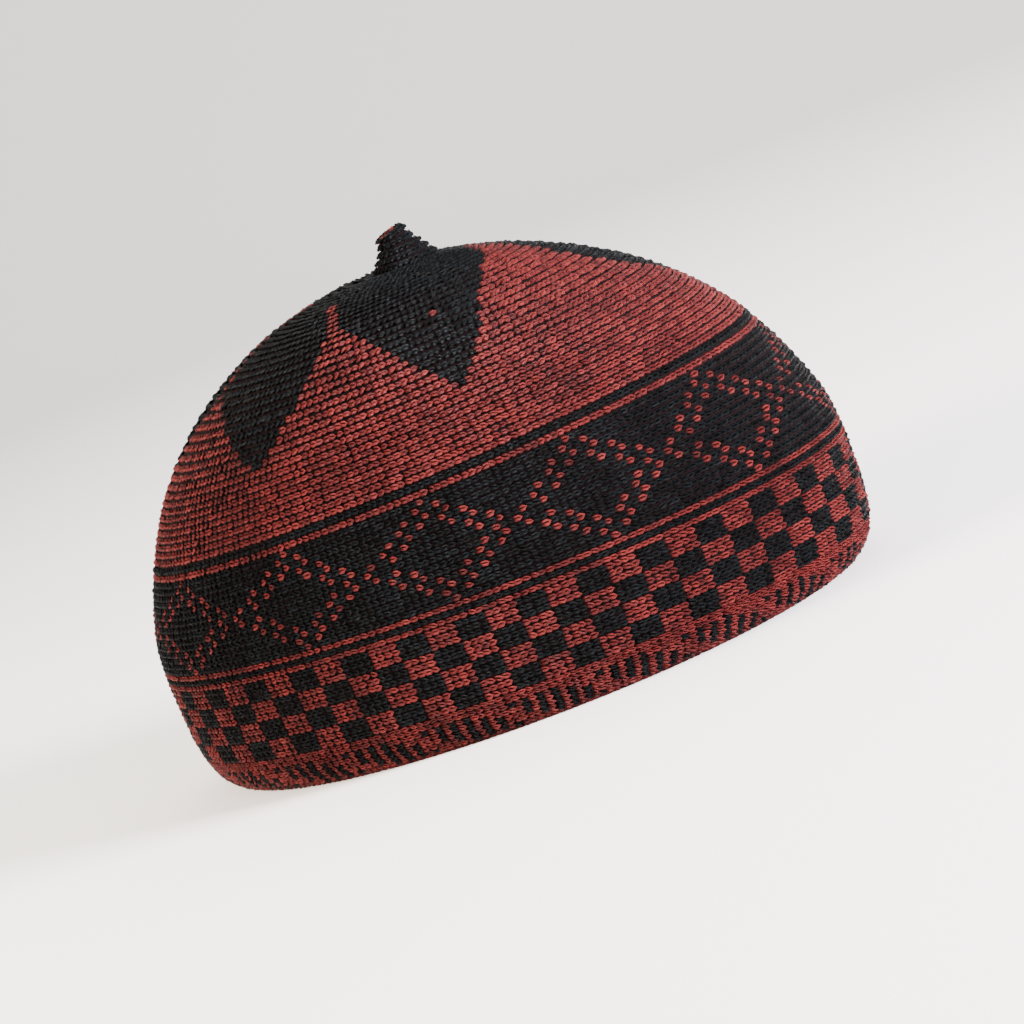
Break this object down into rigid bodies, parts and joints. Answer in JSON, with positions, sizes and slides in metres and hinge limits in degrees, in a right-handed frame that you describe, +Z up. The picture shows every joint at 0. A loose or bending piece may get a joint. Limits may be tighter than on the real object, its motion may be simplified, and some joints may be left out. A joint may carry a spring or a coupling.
{
  "type": "knitted prayer cap",
  "caption": "Close-fitting brimless knitted prayer cap: a hollow dome with a patterned band, a turned-in rim and a small drawn-up knob on top.",
  "frame": {"origin": "middle of the rim's opening, on the plane the rim rests on", "axes": "+Z up through the knob; +X towards the wearer's forehead, along the cap's longer axis; +Y to the wearer's left"},
  "size_m": [0.204, 0.131, 0.1314],
  "materials": {
    "knitted_yarn": "knitted red and black yarn, matt"
  },
  "bodies": {
    "root": {"knitted_shell": "knitted_yarn"}
  },
  "joints": []
}
